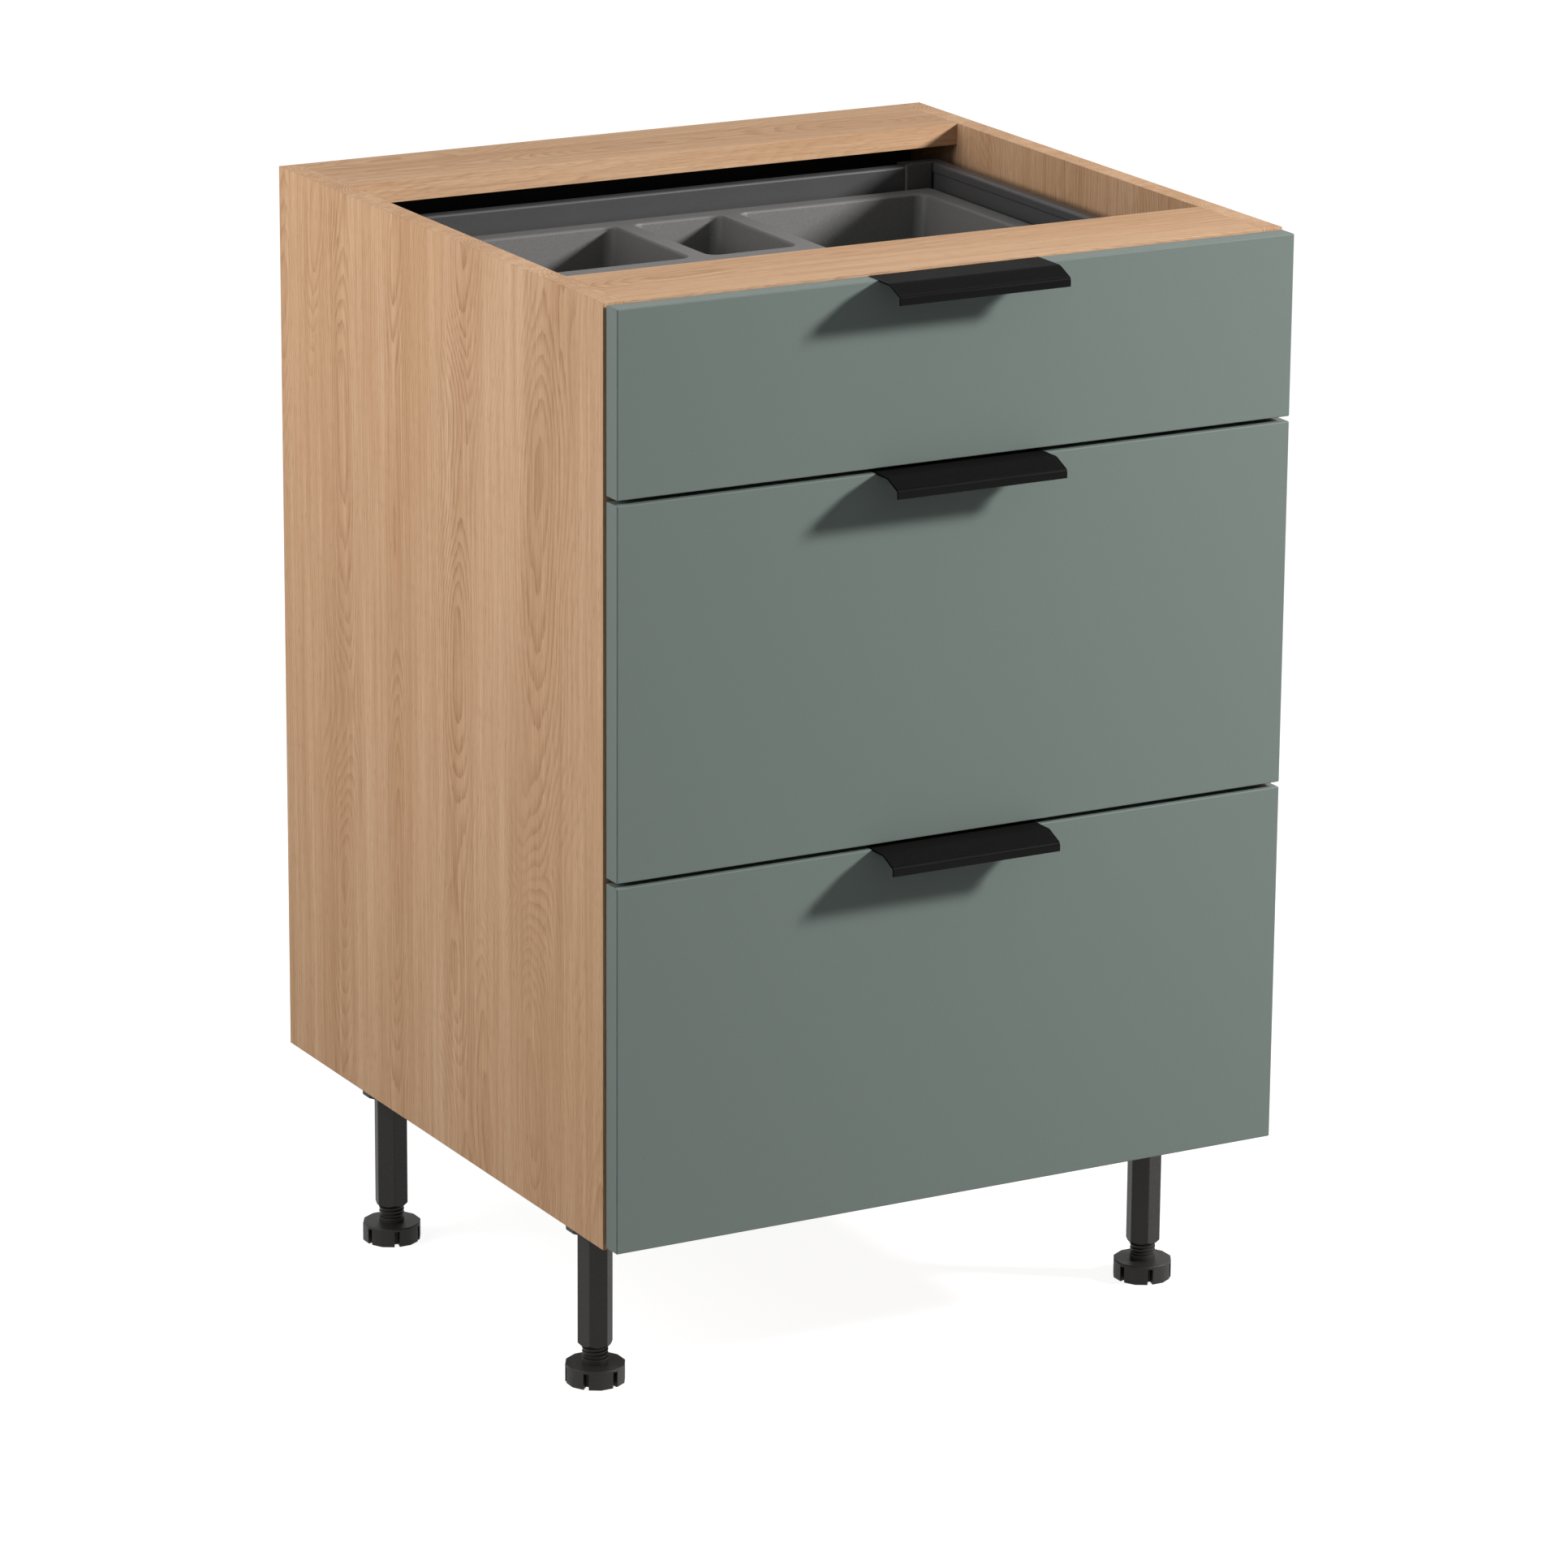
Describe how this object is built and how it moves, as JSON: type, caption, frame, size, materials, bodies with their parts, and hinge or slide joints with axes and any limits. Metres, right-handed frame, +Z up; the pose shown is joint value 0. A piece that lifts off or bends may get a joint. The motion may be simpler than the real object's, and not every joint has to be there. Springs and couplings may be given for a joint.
{
  "type": "kitchen base cabinet",
  "caption": "Kitchen base cabinet on adjustable legs, with stacked drawers on full-extension ball-bearing runners, top-edge pull handles and a moulded cutlery tray.",
  "frame": {"origin": "on the floor, under the middle of the cabinet with its fronts and handles", "axes": "+X to the right seen from the front, +Y from the drawer fronts to the wall, +Z up"},
  "size_m": [0.6, 0.623, 0.9],
  "materials": {
    "oak_board": "light oak decor on particle board, satin",
    "sage_lacquer": "matt sage lacquer on fibreboard",
    "black_handle": "matt black powder coat on steel sheet",
    "black_plastic": "moulded, matt",
    "grey_sheet": "dark grey powder coat on steel sheet",
    "grey_board": "dark grey melamine on particle board",
    "grey_moulding": "moulded, fine texture",
    "tray_plastic": "thermoformed, soft matt",
    "zinc_steel": "zinc plated",
    "zinc_casting": "zinc die casting, bright",
    "beech": "turned beech, bare"
  },
  "bodies": {
    "carcass": {"side_panel_left": "oak_board", "side_panel_right": "oak_board", "bottom_panel": "oak_board", "back_panel": "grey_board", "top_rail_front": "oak_board", "top_rail_back": "oak_board", "cam_locks": "zinc_casting", "connecting_bolts": "zinc_steel", "dowels": "beech", "runner_screws": "zinc_steel", "leg_front_left": "black_plastic", "leg_front_right": "black_plastic", "leg_back_left": "black_plastic", "leg_back_right": "black_plastic", "top_cabinet_runners": "zinc_steel", "middle_cabinet_runners": "zinc_steel", "lower_cabinet_runners": "zinc_steel"},
    "foot_front_left": {"foot_front_left": "black_plastic"},
    "foot_front_right": {"foot_front_right": "black_plastic"},
    "foot_back_left": {"foot_back_left": "black_plastic"},
    "foot_back_right": {"foot_back_right": "black_plastic"},
    "top_drawer": {"top_drawer_runners": "zinc_steel", "top_drawer_front": "sage_lacquer", "top_drawer_handle": "black_handle", "top_drawer_side_left": "grey_sheet", "top_drawer_side_right": "grey_sheet", "top_drawer_bottom": "grey_board", "top_drawer_back": "grey_sheet", "top_drawer_corners": "grey_moulding", "top_drawer_brackets": "zinc_steel", "cutlery_tray": "tray_plastic"},
    "top_intermediate_runners": {"top_intermediate_runners": "zinc_steel"},
    "top_outer_ball_cages": {"top_outer_ball_cages": "zinc_steel"},
    "top_inner_ball_cages": {"top_inner_ball_cages": "zinc_steel"},
    "middle_drawer": {"middle_drawer_runners": "zinc_steel", "middle_drawer_front": "sage_lacquer", "middle_drawer_handle": "black_handle", "middle_drawer_side_left": "grey_sheet", "middle_drawer_side_right": "grey_sheet", "middle_drawer_bottom": "grey_board", "middle_drawer_back": "grey_sheet", "middle_drawer_corners": "grey_moulding", "middle_drawer_brackets": "zinc_steel", "middle_gallery_rails": "grey_sheet"},
    "middle_intermediate_runners": {"middle_intermediate_runners": "zinc_steel"},
    "middle_outer_ball_cages": {"middle_outer_ball_cages": "zinc_steel"},
    "middle_inner_ball_cages": {"middle_inner_ball_cages": "zinc_steel"},
    "lower_drawer": {"lower_drawer_runners": "zinc_steel", "lower_drawer_front": "sage_lacquer", "lower_drawer_handle": "black_handle", "lower_drawer_side_left": "grey_sheet", "lower_drawer_side_right": "grey_sheet", "lower_drawer_bottom": "grey_board", "lower_drawer_back": "grey_sheet", "lower_drawer_corners": "grey_moulding", "lower_drawer_brackets": "zinc_steel", "lower_gallery_rails": "grey_sheet"},
    "lower_intermediate_runners": {"lower_intermediate_runners": "zinc_steel"},
    "lower_outer_ball_cages": {"lower_outer_ball_cages": "zinc_steel"},
    "lower_inner_ball_cages": {"lower_inner_ball_cages": "zinc_steel"}
  },
  "joints": [
    {"name": "foot_front_left_height", "type": "slide", "parent": "carcass", "child": "foot_front_left", "axis": [0, 0, 1], "range_m": [-0.02, 0.012]},
    {"name": "foot_front_right_height", "type": "slide", "parent": "carcass", "child": "foot_front_right", "axis": [0, 0, 1], "range_m": [-0.02, 0.012]},
    {"name": "foot_back_left_height", "type": "slide", "parent": "carcass", "child": "foot_back_left", "axis": [0, 0, 1], "range_m": [-0.02, 0.012]},
    {"name": "foot_back_right_height", "type": "slide", "parent": "carcass", "child": "foot_back_right", "axis": [0, 0, 1], "range_m": [-0.02, 0.012]},
    {"name": "top_drawer_slide", "type": "slide", "parent": "carcass", "child": "top_drawer", "axis": [0, -1, 0], "range_m": [0, 0.45]},
    {"name": "top_intermediate_runners_slide", "type": "slide", "parent": "carcass", "child": "top_intermediate_runners", "axis": [0, -1, 0], "range_m": [0, 0.225]},
    {"name": "top_outer_ball_cages_slide", "type": "slide", "parent": "carcass", "child": "top_outer_ball_cages", "axis": [0, -1, 0], "range_m": [0, 0.1125]},
    {"name": "top_inner_ball_cages_slide", "type": "slide", "parent": "carcass", "child": "top_inner_ball_cages", "axis": [0, -1, 0], "range_m": [0, 0.3375]},
    {"name": "middle_drawer_slide", "type": "slide", "parent": "carcass", "child": "middle_drawer", "axis": [0, -1, 0], "range_m": [0, 0.45]},
    {"name": "middle_intermediate_runners_slide", "type": "slide", "parent": "carcass", "child": "middle_intermediate_runners", "axis": [0, -1, 0], "range_m": [0, 0.225]},
    {"name": "middle_outer_ball_cages_slide", "type": "slide", "parent": "carcass", "child": "middle_outer_ball_cages", "axis": [0, -1, 0], "range_m": [0, 0.1125]},
    {"name": "middle_inner_ball_cages_slide", "type": "slide", "parent": "carcass", "child": "middle_inner_ball_cages", "axis": [0, -1, 0], "range_m": [0, 0.3375]},
    {"name": "lower_drawer_slide", "type": "slide", "parent": "carcass", "child": "lower_drawer", "axis": [0, -1, 0], "range_m": [0, 0.45]},
    {"name": "lower_intermediate_runners_slide", "type": "slide", "parent": "carcass", "child": "lower_intermediate_runners", "axis": [0, -1, 0], "range_m": [0, 0.225]},
    {"name": "lower_outer_ball_cages_slide", "type": "slide", "parent": "carcass", "child": "lower_outer_ball_cages", "axis": [0, -1, 0], "range_m": [0, 0.1125]},
    {"name": "lower_inner_ball_cages_slide", "type": "slide", "parent": "carcass", "child": "lower_inner_ball_cages", "axis": [0, -1, 0], "range_m": [0, 0.3375]}
  ],
  "couplings": [
    {"joint": "top_intermediate_runners_slide", "follows": "top_drawer_slide", "ratio": 0.5},
    {"joint": "top_outer_ball_cages_slide", "follows": "top_drawer_slide", "ratio": 0.25},
    {"joint": "top_inner_ball_cages_slide", "follows": "top_drawer_slide", "ratio": 0.75},
    {"joint": "middle_intermediate_runners_slide", "follows": "middle_drawer_slide", "ratio": 0.5},
    {"joint": "middle_outer_ball_cages_slide", "follows": "middle_drawer_slide", "ratio": 0.25},
    {"joint": "middle_inner_ball_cages_slide", "follows": "middle_drawer_slide", "ratio": 0.75},
    {"joint": "lower_intermediate_runners_slide", "follows": "lower_drawer_slide", "ratio": 0.5},
    {"joint": "lower_outer_ball_cages_slide", "follows": "lower_drawer_slide", "ratio": 0.25},
    {"joint": "lower_inner_ball_cages_slide", "follows": "lower_drawer_slide", "ratio": 0.75}
  ]
}
